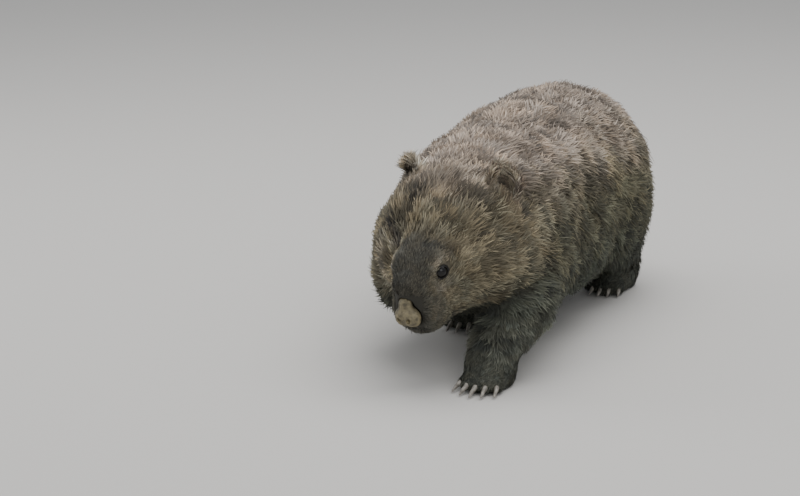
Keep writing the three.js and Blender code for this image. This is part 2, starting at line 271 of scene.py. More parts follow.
# How far a point is up the face: 0 on the muzzle, 1 where the long coat begins
def face_share(points):
    local = in_head(points)
    from_nose = np.linalg.norm(points - nose_place, axis=1)
    back = smooth_step(*FACE_BACK, local[:, 1])
    side = smooth_step(*FACE_SIDE, np.abs(local[:, 0])) * smooth_step(*FACE_SIDE_BACK, local[:, 1])
    return np.maximum(back, FACE_SIDE_SHARE * side) * smooth_step(*FACE_FROM_NOSE, from_nose)


def eye_distance(points):
    return np.minimum(*[np.linalg.norm(points - eye_place[side], axis=1) for side in SIDES])


CUP_FACING = (0.1, 0.6)
HOLLOW_REACH = (0.026, 0.015)  # from the middle of an ear
HOLLOW_AHEAD = (-0.006, 0.004)


# How far a part of an ear faces forwards, where the cup is
def cup_share(normals):
    return smooth_step(*CUP_FACING, normals @ -level_back)


# How far a point is in the hollow of an ear
def hollow_share(points):
    on_left = (points @ head_left > head_origin @ head_left)[:, None]
    nearest = np.where(on_left, ear_place["left"], ear_place["right"])
    off = np.linalg.norm(points - nearest, axis=1)
    ahead = (points - nearest) @ -level_back
    return smooth_step(*HOLLOW_REACH, off) * smooth_step(*HOLLOW_AHEAD, ahead)


class Coat:
    """The coat at each point: its share of each group, and its length, depth and lie."""

    def __init__(self, points, normals):
        self.weights = group_weights(points)
        face = face_share(points)
        near_eye = smooth_step(*NEAR_EYE, eye_distance(points))
        head_length = mix(MUZZLE_LENGTH, HEAD_LENGTH, face) * (1.0 - NEAR_EYE_LENGTH_CUT * near_eye)
        head_depth = mix(MUZZLE_DEPTH, HEAD_DEPTH, face) * (1.0 - NEAR_EYE_DEPTH_CUT * near_eye)
        fringe = 1.0 + FRINGE * smooth_step(*FRINGE_HEIGHTS, points[:, 2])
        cup = 1.0 + CUP_EXTRA * cup_share(normals)
        lengths = {
            **GROUP_LENGTH,
            "torso": GROUP_LENGTH["torso"] * fringe,
            "head": head_length,
            "ear": GROUP_LENGTH["ear"] * cup,
        }
        self.length = mix(self.blended(lengths), EAR_HAIR, hollow_share(points))
        self.depth = self.blended({**GROUP_DEPTH, "head": head_depth})
        self.lie = lie_of_coat(points, normals, self.weights)

    def blended(self, values):
        return sum(weight * values[group] for group, weight in self.weights.items())


# What the lie of the coat adds up: shares of directions, and the places where they change
RUMP_SPAN = (0.22, 0.38)
RUMP_BACK_LOSS = 0.75
RUMP_FALL = 0.9
FLANK_FALL = 0.55
PARTING = 0.02  # the hair of the face parts at a place this far behind the nose
HEAD_BACK = 0.6
HEAD_FALL = 0.35
HEAD_SIDES = (0.03, 0.09)
EAR_SPREAD = 0.35
LEG_BACK = 0.25
TAIL_BACK = 0.6
FOOT_LIE = np.array([0.0, -1.0, -0.3])
LIE_WANDER = 0.35
LIE_CELL = 0.05
LIE_SEEDS = (1, 2, 3)


# The lie of the coat: back from the nose, along the body, and down the sides, rump and legs
def lie_of_coat(points, normals, weights):
    local = in_head(points)
    side = normals[:, 0:1]
    rump = smooth_step(*RUMP_SPAN, points[:, 1])[:, None]
    body_fall = FLANK_FALL * np.abs(side) + RUMP_FALL * rump
    body = BACKWARDS * (1.0 - RUMP_BACK_LOSS * rump) + DOWNWARDS * body_fall
    from_nose = unit(points - (nose_place + PARTING * head_back))
    head_fall = DOWNWARDS * HEAD_FALL * smooth_step(*HEAD_SIDES, np.abs(local[:, 0]))[:, None]
    ways = {
        "torso": body,
        "neck": body,
        "head": unit(from_nose + HEAD_BACK * head_back) + head_fall,
        "ear": head_up + EAR_SPREAD * head_left * np.sign(local[:, 0:1]),
        "leg": DOWNWARDS + LEG_BACK * BACKWARDS,
        "foot": FOOT_LIE,
        "tail": DOWNWARDS + TAIL_BACK * BACKWARDS,
    }
    total = sum(
        weight[:, None] * unit(np.broadcast_to(ways[group], points.shape))
        for group, weight in weights.items()
    )
    total += LIE_WANDER * (np.stack([noise(points, LIE_CELL, seed) for seed in LIE_SEEDS], axis=1) - 0.5)
    flat = total - normals * np.sum(total * normals, axis=1, keepdims=True)
    return unit(flat)


# Colours of the coat, as linear values, judged
# the back's paler coat, made lighter still with painted top light where the fur faces up
BACK_AND_TOP_LIGHT = np.array([0.236, 0.190, 0.150])
FLANK = np.array([0.116, 0.103, 0.062])
# painted shade: the underside's colour is darkened for the shade under the body, with a painted green
# reflection from the grass
PAINTED_UNDERSIDE_SHADE = np.array([0.035, 0.039, 0.027])
CHEEK = np.array([0.146, 0.124, 0.079])
LOWER_FACE = np.array([0.132, 0.118, 0.078])
BRIDGE = np.array([0.044, 0.042, 0.034])
# painted shade in the creases of the fur on the brows and forehead
PAINTED_CREASE_SHADE = np.array([0.030, 0.026, 0.021])
PALE = np.array([0.330, 0.290, 0.225])
EAR_BACK = np.array([0.190, 0.148, 0.120])
EAR_INSIDE = np.array([0.400, 0.355, 0.280])
PAW = np.array([0.055, 0.057, 0.044])
# the lids' own dark rims, a darker copy of the painted crease shade's colour
EYE_RIM = 0.4 * PAINTED_CREASE_SHADE
LIP = np.array([0.010, 0.008, 0.007])

# Lines of the face: from, to, width, colour and share. One that starts on the right is on that side alone.
FACE_LINES = (
    # painted rim light: a pale streak down the outer edge of the right cheek, on that side alone
    ((-0.081, 0.016, 0.004), (-0.093, -0.003, -0.066), 0.016, PALE, 0.45),
    # painted shadow: a dark band on the right of the forehead, running towards the ear
    ((-0.029, 0.089, 0.064), (-0.036, 0.012, 0.034), 0.013, PAINTED_CREASE_SHADE, 0.6),
    # painted shade in a crease of the fur behind each brow
    ((0.050, -0.004, 0.009), (0.073, 0.032, 0.016), 0.017, PAINTED_CREASE_SHADE, 0.95),
    # painted shade in a crease of the forehead, on both sides
    ((0.030, 0.070, 0.056), (0.042, 0.030, 0.040), 0.014, PAINTED_CREASE_SHADE, 0.5),
    ((0.053, 0.004, 0.002), (0.064, 0.006, -0.006), 0.007, PALE, 0.6),
    ((0.034, -0.040, 0.010), (0.039, -0.024, 0.015), 0.007, PALE, 0.35),
    ((0.033, -0.046, -0.021), (0.037, -0.038, -0.030), 0.008, PALE, 0.35),
    ((0.041, -0.028, -0.027), (0.050, -0.018, -0.031), 0.008, PALE, 0.3),
)
LINE_CORE = 0.35  # of a line's width has the whole share


# How near points of the head are to a line between two places, on either side of the head or on one
def line_share(local, start, end, width):
    beside = np.abs(local[:, 0]) if start[0] > 0.0 else local[:, 0]
    p = np.column_stack([beside, local[:, 1:]])
    along = np.array(end) - np.array(start)
    t = np.clip((p - start) @ along / (along @ along), 0.0, 1.0)
    off = np.linalg.norm(p - (start + t[:, None] * along), axis=1)
    return smooth_step(width, LINE_CORE * width, off)


# Where the colours of the head change, in its own axes or by distance from the nose or an eye
# the crown, where its fur faces up, takes the back's colour: a paler coat with painted top light
CROWN_TOP_LIGHT_FACING = (0.6, 1.0)
CROWN_BACK = (0.02, 0.08)
LOW_FACE_HEIGHTS = (-0.02, -0.065)
LOW_FACE_BACK = (0.10, 0.04)
BRIDGE_SIDE = (0.042, 0.022)
BRIDGE_BACK = (0.018, -0.014)
SNOUT_REACH = (0.066, 0.036)
CHIN_SHADE_HEIGHTS = (-0.075, -0.1)
EYE_RIM_REACH = (0.0135, 0.0115)
EYE_RING_INNER = (0.0125, 0.0150)
EYE_RING_OUTER = (0.024, 0.018)
ABOVE_EYE = (-0.004, 0.008)
CROWN_TOP_LIGHT_SHARE = 0.75
BRIDGE_SHARE = 0.92
SNOUT_SHARE = 0.7
CHIN_SHADE_SHARE = 0.9
EYE_RING_SHARE = 0.05
EYE_RING_SHARE_ABOVE = 0.08  # more of it over the eye
LOW_FACE_WANDER = 0.02  # how far the cloudy patches move the edge of a colour
BRIDGE_SIDE_WANDER = 0.012
BRIDGE_BACK_WANDER = 0.02


def head_colour(points, normals, patch):
    local = in_head(points)
    # painted top light on the up-facing crown, together with its paler coat
    crown_top_light = smooth_step(*CROWN_TOP_LIGHT_FACING, normals @ head_up) * smooth_step(*CROWN_BACK, local[:, 1])
    colour = mix(np.broadcast_to(CHEEK, points.shape), BACK_AND_TOP_LIGHT, CROWN_TOP_LIGHT_SHARE * crown_top_light)
    low = smooth_step(*LOW_FACE_HEIGHTS, local[:, 2] + LOW_FACE_WANDER * patch)
    colour = mix(colour, LOWER_FACE, low * smooth_step(*LOW_FACE_BACK, local[:, 1]))
    bridge = smooth_step(*BRIDGE_SIDE, np.abs(local[:, 0]) + BRIDGE_SIDE_WANDER * patch)
    bridge = bridge * smooth_step(*BRIDGE_BACK, local[:, 1] + BRIDGE_BACK_WANDER * patch)
    snout = smooth_step(*SNOUT_REACH, np.linalg.norm(points - nose_place, axis=1))
    colour = mix(colour, BRIDGE, np.maximum(BRIDGE_SHARE * bridge, SNOUT_SHARE * snout))
    # painted shade under the jaw, in the underside's colour
    colour = mix(colour, PAINTED_UNDERSIDE_SHADE, CHIN_SHADE_SHARE * smooth_step(*CHIN_SHADE_HEIGHTS, local[:, 2]))
    from_eye = eye_distance(points)
    colour = mix(colour, EYE_RIM, smooth_step(*EYE_RIM_REACH, from_eye))
    ring = smooth_step(*EYE_RING_INNER, from_eye) * smooth_step(*EYE_RING_OUTER, from_eye)
    above = smooth_step(*ABOVE_EYE, local[:, 2])
    colour = mix(colour, PALE, ring * (EYE_RING_SHARE + EYE_RING_SHARE_ABOVE * above))
    for start, end, width, tint, share in FACE_LINES:
        colour = mix(colour, tint, share * line_share(local, start, end, width))
    return colour


PATCH_CELL = 0.045  # size of the cloudy patches in the coat's colour
PATCH_SEED = 4
# heights over which the painted underside shade gives way to the flank's colour
UNDERSIDE_SHADE_HEIGHTS = (0.08, 0.27)
UNDERSIDE_SHADE_WANDER = 0.07
# up-facing fur high on the back gets the back's colour, partly its paler coat and partly painted top light
BACK_TOP_LIGHT_FACING = (0.0, 0.85)
BACK_HEIGHTS = (0.18, 0.29)
BACK_WANDER = 0.5
LEG_HEIGHTS = (0.07, 0.16)
LEG_TINT = 1.15
LEG_BODY_SHARE = 0.6
HOLLOW_TINT = 0.9


def coat_colour(points, normals, coat):
    patch = noise(points, PATCH_CELL, PATCH_SEED) - 0.5
    high = smooth_step(*UNDERSIDE_SHADE_HEIGHTS, points[:, 2] + UNDERSIDE_SHADE_WANDER * patch)
    painted_top_light = smooth_step(*BACK_TOP_LIGHT_FACING, normals[:, 2] + BACK_WANDER * patch)
    # painted shade: the body gets darker towards the bottom, under the belly
    body = mix(np.broadcast_to(PAINTED_UNDERSIDE_SHADE, points.shape), FLANK, high)
    # painted top light, with the back's paler coat, where the fur high on the back faces up
    body = mix(body, BACK_AND_TOP_LIGHT, painted_top_light * smooth_step(*BACK_HEIGHTS, points[:, 2]))
    lower_leg = np.broadcast_to(PAW * LEG_TINT, points.shape)
    kinds = {
        "torso": body,
        "neck": body,
        "head": head_colour(points, normals, patch),
        "ear": mix(np.broadcast_to(EAR_BACK, points.shape), EAR_INSIDE, cup_share(normals)),
        "leg": mix(lower_leg, body, LEG_BODY_SHARE * smooth_step(*LEG_HEIGHTS, points[:, 2])),
        "foot": np.broadcast_to(PAW, points.shape),
        "tail": body,
    }
    colour = sum(weight[:, None] * kinds[group] for group, weight in coat.weights.items())
    return mix(colour, EAR_INSIDE, HOLLOW_TINT * hollow_share(points))


MOUTH_FROM = np.array([0.0, -0.036, -0.064])  # in the head, the place that the line of the mouth goes round
MOUTH_LEVEL = -0.2
MOUTH_RISE = 0.1
MOUTH_CORE = 0.3  # of the line's width is at full depth
MOUTH_CORNER = (math.radians(112), math.radians(95))
MOUTH_WIDTH = 0.003
MOUTH_DEPTH = 0.003
MOUTH_BARE = 0.004  # half the width of the strip with little hair


# How near a point of the head is to the line of the mouth
def mouth_share(points, width):
    way = unit(in_head(points) - MOUTH_FROM)
    turn = np.arctan2(way[:, 0], -way[:, 1])
    level = way[:, 2] / np.maximum(np.hypot(way[:, 0], way[:, 1]), 1e-6)
    line = MOUTH_LEVEL + MOUTH_RISE * np.cos(2.0 * turn)
    off = np.abs(level - line) * np.linalg.norm(in_head(points) - MOUTH_FROM, axis=1)
    ahead = smooth_step(*MOUTH_CORNER, np.abs(turn))
    return smooth_step(width, MOUTH_CORE * width, off) * ahead


FUSE_SWELL = 0.0004
EVEN_FACTOR = 0.5
EVEN_ROUNDS = 6
SKIN_SHADE = 0.55  # the skin's colour as a share of the coat's


# Skin: the flesh nodes fused into one closed surface, drawn in by the depth of the coat
def fused_flesh():
    skin = new_object("skin", *joined_arrays(FLESH, FUSE_SWELL))
    remesh = skin.modifiers.new("fuse", "REMESH")
    remesh.mode = "VOXEL"
    remesh.voxel_size = VOXEL
    even = skin.modifiers.new("even", "SMOOTH")
    even.factor = EVEN_FACTOR
    even.iterations = EVEN_ROUNDS
    apply_modifiers(skin)
    return skin


def delete_all_but_largest_shell(shape):
    left = set(shape.verts)
    shells = []
    while left:
        stack = [left.pop()]
        shell = set(stack)
        while stack:
            for edge in stack.pop().link_edges:
                for vert in edge.verts:
                    if vert not in shell:
                        shell.add(vert)
                        stack.append(vert)
        left -= shell
        shells.append(shell)
    shells.sort(key=len)
    scraps = [vert for shell in shells[:-1] for vert in shell]
    bmesh.ops.delete(shape, geom=scraps, context="VERTS")


# The muzzle gets finer faces, for the line of the mouth.
def refine_near_nose(shape):
    nose = Vector(nose_place)
    fine = [edge for edge in shape.edges if (edge.verts[0].co - nose).length < FINE_REACH]
    bmesh.ops.subdivide_edges(shape, edges=fine, cuts=1, use_grid_fill=True)
    bmesh.ops.triangulate(shape, faces=[face for face in shape.faces if len(face.verts) > 4])


def make_skin():
    skin = fused_flesh()
    shape = bmesh.new()
    shape.from_mesh(skin.data)
    delete_all_but_largest_shell(shape)
    refine_near_nose(shape)
    shape.to_mesh(skin.data)
    shape.free()
    points = vertex_array(skin.data, "co")
    normals = vertex_array(skin.data, "normal")
    coat = Coat(points, normals)
    on_head = coat.weights["head"]
    sunk = coat.depth + MOUTH_DEPTH * on_head * mouth_share(points, MOUTH_WIDTH)
    points = points - normals * sunk[:, None]
    skin.data.vertices.foreach_set("co", points.ravel())
    skin.data.update()
    normals = vertex_array(skin.data, "normal")
    in_ear = np.maximum(coat.weights["ear"], hollow_share(points))
    colour = coat_colour(points, normals, coat) * mix(SKIN_SHADE, 1.0, in_ear)[:, None]
    colour = mix(colour, LIP, on_head * mouth_share(points, MOUTH_WIDTH))
    paint(skin.data, colour)
    skin.data.shade_smooth()
    return skin, points, normals, coat


def paint(mesh, colours):
    layer = mesh.color_attributes.new("coat", "FLOAT_COLOR", "POINT")
    layer.data.foreach_set("color", np.column_stack([colours, np.ones(len(colours))]).ravel())


COARSE_SHARE = 0.06  # of the skin's faces are enough for the bake map
MAP_ANGLE = math.radians(60)
MAP_MARGIN = 0.004


# An unwrap of the skin's own shape, on a coarse copy: its triangles and each one's corners on the map
def unwrapped(skin):
    faces = [tuple(face.vertices) for face in skin.data.polygons]
    coarse = new_object("coarse", vertex_array(skin.data, "co"), faces)
    fewer = coarse.modifiers.new("fewer", "DECIMATE")
    fewer.ratio = COARSE_SHARE
    apply_modifiers(coarse)
    only_active(coarse)
    bpy.ops.object.mode_set(mode="EDIT")
    bpy.ops.mesh.select_all(action="SELECT")
    bpy.ops.uv.smart_project(angle_limit=MAP_ANGLE, island_margin=MAP_MARGIN)
    bpy.ops.object.mode_set(mode="OBJECT")
    mesh = coarse.data
    mesh.calc_loop_triangles()
    places = np.empty(len(mesh.loops) * 2)
    mesh.uv_layers.active.data.foreach_get("uv", places)
    places = places.reshape(-1, 2)
    triangles = np.array([t.vertices for t in mesh.loop_triangles])
    corners = places[np.array([t.loops for t in mesh.loop_triangles])]
    points = vertex_array(mesh, "co")
    bpy.data.objects.remove(coarse)
    return points, triangles, corners


# Where each root lies on the map
def map_places(roots, unwrap):
    points, triangles, corners = unwrap
    tree = BVHTree.FromPolygons([tuple(p) for p in points], triangles.tolist())
    found = np.empty(len(roots), int)
    at = np.empty((len(roots), 3))
    for i, root in enumerate(roots):
        place, _, index, _ = tree.find_nearest(root)
        found[i] = index
        at[i] = place
    a, b, c = (points[triangles[found, k]] for k in range(3))
    whole = np.cross(b - a, c - a)
    area = np.maximum(np.sum(whole * whole, axis=1), 1e-18)
    u = np.sum(np.cross(c - b, at - b) * whole, axis=1) / area
    v = np.sum(np.cross(a - c, at - c) * whole, axis=1) / area
    shares = np.stack([u, v, 1.0 - u - v], axis=1)
    return np.einsum("ij,ijk->ik", shares, corners[found])


# Places spread over the skin by density, with the skin's values there
def scatter(skin, count, density, values):
    mesh = skin.data
    mesh.calc_loop_triangles()
    triangles = np.array([t.vertices for t in mesh.loop_triangles])
    points = vertex_array(mesh, "co")
    a, b, c = (points[triangles[:, k]] for k in range(3))
    area = np.linalg.norm(np.cross(b - a, c - a), axis=1) / 2.0
    chance = area * density[triangles].mean(axis=1)
    picked = rng.choice(len(triangles), count, p=chance / chance.sum())
    r1, r2 = np.sqrt(rng.random(count)), rng.random(count)
    shares = np.stack([1.0 - r1, r1 * (1.0 - r2), r1 * r2], axis=1)
    return [np.einsum("ij,ij...->i...", shares, value[triangles[picked]]) for value in values]


# A blade's width and place along its length at each level, from root to tip
BLADE_LEVELS = np.array([0.0, 0.4, 0.75, 1.0])
BLADE_WIDTHS = np.array([1.0, 0.85, 0.5, 0.0])
BLADE_POINTS = 2 * (len(BLADE_LEVELS) - 1) + 1
FAN_ANGLE = 0.32  # between one blade of a tuft and the next
FAN_SPREAD = 0.13
BLADE_LENGTHS = (0.72, 1.15)
BLADE_RISES = (0.75, 1.25)
BLADE_TILT = 0.45  # how far blades turn about their own length
BLADE_SPACING = 0.9  # between roots, as a share of a blade's width
BLADE_LIFT = 1.7  # a blade rises from its root and droops towards its tip
BLADE_DROOP = 0.9
ROOT_SUNK = 0.0008
TIP_FADE = 0.8
PATCH_FILL = 0.7


# One tuft is a few thin blades from one root. Each blade bends towards the lie and thins to a point.
def tuft_mesh(name, roots, normals, lies, lengths, lifts, widths, deep, tips, places, pull):
    count = len(roots)
    across = unit(np.cross(normals, lies))
    points, colours, uvs = [], [], []
    for blade in range(BLADES):
        fan = (blade - (BLADES - 1) / 2.0) * FAN_ANGLE + rng.normal(0.0, FAN_SPREAD, count)
        way = unit(lies * np.cos(fan)[:, None] + across * np.sin(fan)[:, None])
        length = lengths * rng.uniform(*BLADE_LENGTHS, count)
        side = unit(np.cross(normals, way))
        tilt = rng.normal(0.0, BLADE_TILT, count)[:, None]
        side = unit(side + normals * tilt)
        start = roots + across * (widths * (blade - 1) * BLADE_SPACING)[:, None]
        rise = (lifts * rng.uniform(*BLADE_RISES, count))[:, None]
        for level, wide in zip(BLADE_LEVELS, BLADE_WIDTHS):
            along = length[:, None] * level
            height = rise * length[:, None] * (BLADE_LIFT * level - BLADE_DROOP * level * level)
            centre = start + way * along + normals * (height - ROOT_SUNK)
            centre = centre + pull * (level * level)
            colour = mix(deep, tips, np.full(count, level ** TIP_FADE))
            edges = (-0.5, 0.5) if wide > 0.0 else (0.0,)
            for edge in edges:
                point = centre + side * (widths * wide * edge)[:, None]
                point[:, 2] = np.maximum(point[:, 2], ABOVE_FLOOR)
                points.append(point)
                colours.append(colour)
                spot = np.array([(blade + 0.5 + PATCH_FILL * edge) / BLADES - 0.5, level - 0.5]) * PATCH
                uvs.append(places + spot)
    arrays = (np.vstack(part) for part in (points, tuft_faces(count), colours, uvs))
    return triangle_object(name, *arrays)


# The triangles of all blades. Each point is made for all tufts at once, so a tuft's are count apart.
def tuft_faces(count):
    index = np.arange(count)

    def triangles(*corners):
        return np.stack([index + corner * count for corner in corners], axis=1)

    faces = []
    for blade in range(BLADES):
        base = blade * BLADE_POINTS
        for level in range(len(BLADE_LEVELS) - 2):
            a = base + 2 * level
            faces.append(triangles(a, a + 1, a + 3))
            faces.append(triangles(a, a + 3, a + 2))
        a = base + BLADE_POINTS - 3
        faces.append(triangles(a, a + 1, a + 2))
    return faces


def triangle_object(name, points, faces, colours, uvs):
    mesh = bpy.data.meshes.new(name)
    mesh.vertices.add(len(points))
    mesh.vertices.foreach_set("co", points.ravel())
    mesh.loops.add(faces.size)
    mesh.loops.foreach_set("vertex_index", faces.ravel())
    mesh.polygons.add(len(faces))
    mesh.polygons.foreach_set("loop_start", np.arange(0, faces.size, 3))
    mesh.update(calc_edges=True)
    layer = mesh.uv_layers.new(name="OFBake")
    layer.data.foreach_set("uv", uvs[faces.ravel()].ravel())
    paint(mesh, colours)
    mesh.shade_smooth()
    return in_scene(name, mesh)


SKIN_AREA = 0.9  # about, in square metres
CLUMPED_LENGTH = 0.028  # shorter hair than this clumps less
CLUMP_EASE = 1.5
LEAST_CLUMPED = 0.1
CLUMP_REACH = 0.9  # the most that a tip moves, as a share of the clumps' spacing
CLUMP_STRENGTH = 0.7


# Tips in one clump lean towards the clump's own tip.
def clump_pull(roots, lies, lengths):
    count = int(SKIN_AREA / CLUMP_SPACING**2)
    picks = rng.choice(len(roots), min(count, len(roots)), replace=False)
    tree = KDTree(len(picks))
    for i, pick in enumerate(picks):
        tree.insert(roots[pick], i)
    tree.balance()
    clump = picks[np.array([tree.find(root)[1] for root in roots])]
    aim = roots[clump] + lies[clump] * lengths[clump][:, None]
    pull = aim - (roots + lies * lengths[:, None])
    pull = pull * np.clip(lengths / CLUMPED_LENGTH, LEAST_CLUMPED, 1.0)[:, None] ** CLUMP_EASE
    size = np.linalg.norm(pull, axis=1, keepdims=True)
    most = CLUMP_REACH * CLUMP_SPACING
    pull = pull * np.minimum(1.0, most / np.maximum(size, 1e-6)) * CLUMP_STRENGTH
    return pull, clump


EVEN_LENGTH = 0.012  # hair of this length has a density of 1
DENSITY_LENGTHS = (0.005, 0.03)
MOUTH_THINNING = 0.85
BARE_EYE = (0.016, 0.012)
BARE_SOLE = 0.004  # no hair grows lower than this
NOSE_CLEAR = 0.001


# Tufts are denser where the coat is short, and leave the eyes, nose, mouth and soles bare.
def tuft_density(points, coat):
    density = EVEN_LENGTH / np.clip(coat.length, *DENSITY_LENGTHS)
    bare = smooth_step(*BARE_EYE, eye_distance(points))
    nose_low, nose_high = (np.array(corner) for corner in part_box("nose"))
    at_nose = np.all((points > nose_low - NOSE_CLEAR) & (points < nose_high + NOSE_CLEAR), axis=1)
    density = density * (1.0 - bare) * np.where(at_nose, 0.0, 1.0) * (points[:, 2] > BARE_SOLE)
    return density * (1.0 - MOUTH_THINNING * mouth_share(points, MOUTH_BARE) * coat.weights["head"])


LENGTH_CELL = 0.022  # patches of longer and shorter hair
LENGTH_SEED = 5
LEAST_LENGTH = 0.62
LENGTH_SPAN = 0.56
LIFT_CELL = 0.025
LIFT_SEED = 6
LEAST_LIFT = 0.5
LIFT_BY_DEPTH = 1.2
SHADE_CELL = 0.03
SHADE_SEED = 8
GUARD_LENGTH = 1.3
GUARD_SHADE = 1.35
LIFTS = (0.12, 0.6)
LEAST_WIDTH = 0.0007
WIDTH_SHARE = 0.062  # of the hair's length
WIDEST_LENGTH = 0.026
FINE_LENGTHS = (0.022, 0.012)  # short hair is shaded tuft by tuft, and long hair clump by clump
# Shades go from the least one up by a span.
CLUMP_SHADE = 0.36
CLUMP_SHADE_SPAN = 1.32
CLUMP_SHADE_POWER = 1.3
FINE_SHADE = 0.40
FINE_SHADE_SPAN = 1.2
TUFT_SHADE = 0.75
TUFT_SHADE_SPAN = 0.3
PATCH_SHADE = 0.75
PATCH_SHADE_SPAN = 0.5
WARMTH = np.array([0.10, 0.0, -0.12])
TIP_SHADE = 1.6
ROOT_SHADE = 0.45
EAR_ROOT_SHADE = 0.95


# How light each tuft is, and the warmer or colder tint of its clump
def tuft_shades(roots, length, clump, guard):
    count = len(roots)
    shade = CLUMP_SHADE + CLUMP_SHADE_SPAN * rng.random(count)[clump] ** CLUMP_SHADE_POWER
    fine = smooth_step(*FINE_LENGTHS, length)
    shade = mix(shade, FINE_SHADE + FINE_SHADE_SPAN * rng.random(count), fine)
    shade *= (TUFT_SHADE + TUFT_SHADE_SPAN * rng.random(count)) * np.where(guard, GUARD_SHADE, 1.0)
    shade *= PATCH_SHADE + PATCH_SHADE_SPAN * noise(roots, SHADE_CELL, SHADE_SEED)
    warm = (rng.random(count)[clump] - 0.5)[:, None] * WARMTH + 1.0
    return shade, warm


def make_coat(skin, points, normals, coat, material):
    colour = coat_colour(points, normals, coat)
    values = [points, normals, coat.lie, coat.length, coat.depth, colour, coat.weights["ear"]]
    found = scatter(skin, TUFTS, tuft_density(points, coat), values)
    roots, normal, lie, length, depth, colour, on_ear = found
    normal = unit(normal)
    lie = unit(lie - normal * np.sum(lie * normal, axis=1, keepdims=True))
    guard = rng.random(len(roots)) < GUARD_SHARE
    uneven = LEAST_LENGTH + LENGTH_SPAN * noise(roots, LENGTH_CELL, LENGTH_SEED)
    length = length * uneven * np.where(guard, GUARD_LENGTH, 1.0)
    pull, clump = clump_pull(roots, lie, length)
    lift = np.clip(depth * LIFT_BY_DEPTH / length, *LIFTS)
    lift = lift * (LEAST_LIFT + noise(roots, LIFT_CELL, LIFT_SEED))
    shade, warm = tuft_shades(roots, length, clump, guard)
    tufts = {
        "roots": roots,
        "normals": normal,
        "lies": lie,
        "lengths": length,
        "lifts": lift,
        "widths": LEAST_WIDTH + WIDTH_SHARE * np.minimum(length, WIDEST_LENGTH),
        "deep": colour * (mix(ROOT_SHADE, EAR_ROOT_SHADE, on_ear) * shade)[:, None] * warm,
        "tips": colour * (TIP_SHADE * shade)[:, None] * warm,
        "places": map_places(roots, unwrapped(skin)),
        "pull": pull,
    }
    order = np.argsort(roots[:, 1])
    pieces = []
    for number, start in enumerate(range(0, len(order), TUFTS_IN_PIECE)):
        part = order[start : start + TUFTS_IN_PIECE]
        made = tuft_mesh(f"coat_{number}", **{key: value[part] for key, value in tufts.items()})
        made.data.materials.append(material)
        pieces.append(made)
    return pieces


# Materials
SKIN_TONE = (0.1, 0.08, 0.06)
NOSE_TONE = (0.25, 0.2, 0.14)
NOSE_DARK = (0.085, 0.072, 0.043)
NOSE_LIGHT = (0.245, 0.207, 0.120)
HORN_TONE = (0.2, 0.18, 0.15)
HORN_DARK = (0.150, 0.135, 0.115)
HORN_LIGHT = (0.420, 0.390, 0.340)
EYE_TONE = (0.005, 0.004, 0.004)
LID_TONE = (0.012, 0.010, 0.009)
WHISKER_TONE = (0.03, 0.025, 0.02)
FLOOR_TONE = (0.62, 0.6, 0.57)
STAIN_DETAIL = 5.0
NOSE_STAIN = 130.0  # scale of the noise in the colour
NOSE_BAND = (0.36, 0.64)
NOSE_GRAIN = 240.0
GRAIN_STRENGTH = 0.9
GRAIN_DEPTH = 0.0030
HORN_STAIN = 110.0
HORN_BAND = (0.35, 0.68)


def plain_material(name, colour, roughness, **inputs):
    material = bpy.data.materials.new(name)
    material.use_nodes = True
    shader = material.node_tree.nodes["Principled BSDF"]
    shader.inputs["Base Color"].default_value = (*colour, 1.0)
    shader.inputs["Roughness"].default_value = roughness
    for key, value in inputs.items():
        shader.inputs[key.replace("_", " ")].default_value = value
    return material


# A material that takes its colour from what paint gave the mesh
def painted_material(name, roughness):
    material = plain_material(name, SKIN_TONE, roughness)
    nodes, links = material.node_tree.nodes, material.node_tree.links
    attribute = nodes.new("ShaderNodeAttribute")
    attribute.attribute_name = "coat"
    links.new(attribute.outputs["Color"], nodes["Principled BSDF"].inputs["Base Color"])
    return material


def noise_node(material, scale):
    nodes, links = material.node_tree.nodes, material.node_tree.links
    place = nodes.new("ShaderNodeTexCoord")
    made = nodes.new("ShaderNodeTexNoise")
    made.inputs["Scale"].default_value = scale
    links.new(place.outputs["Object"], made.inputs["Vector"])
    return made


# Gives a material a colour between two, by noise over the object
def mottle(material, scale, dark, light, low, high):
    nodes, links = material.node_tree.nodes, material.node_tree.links
    stain = noise_node(material, scale)
    stain.inputs["Detail"].default_value = STAIN_DETAIL
    ramp = nodes.new("ShaderNodeValToRGB")
    ramp.color_ramp.elements[0].position = low
    ramp.color_ramp.elements[0].color = (*dark, 1.0)
    ramp.color_ramp.elements[1].position = high
    ramp.color_ramp.elements[1].color = (*light, 1.0)
    links.new(stain.outputs["Fac"], ramp.inputs["Fac"])
    links.new(ramp.outputs["Color"], nodes["Principled BSDF"].inputs["Base Color"])


def nose_material():
    material = plain_material("nose_skin", NOSE_TONE, 0.6)
    nodes, links = material.node_tree.nodes, material.node_tree.links
    grain = noise_node(material, NOSE_GRAIN)
    bump = nodes.new("ShaderNodeBump")
    bump.inputs["Strength"].default_value = GRAIN_STRENGTH
    bump.inputs["Distance"].default_value = GRAIN_DEPTH
    links.new(grain.outputs["Fac"], bump.inputs["Height"])
    links.new(bump.outputs["Normal"], nodes["Principled BSDF"].inputs["Normal"])
    mottle(material, NOSE_STAIN, NOSE_DARK, NOSE_LIGHT, *NOSE_BAND)
    return material


def claw_material():
    material = plain_material("claw_horn", HORN_TONE, 0.42)
    mottle(material, HORN_STAIN, HORN_DARK, HORN_LIGHT, *HORN_BAND)
    return material


WELD_REACH = 1e-5


# The solids come with a point for each corner of each face, so they are joined before they are smoothed.
def weld(mesh):
    shape = bmesh.new()
    shape.from_mesh(mesh)
    bmesh.ops.remove_doubles(shape, verts=shape.verts, dist=WELD_REACH)
    bmesh.ops.recalc_face_normals(shape, faces=shape.faces)
    shape.to_mesh(mesh)
    shape.free()


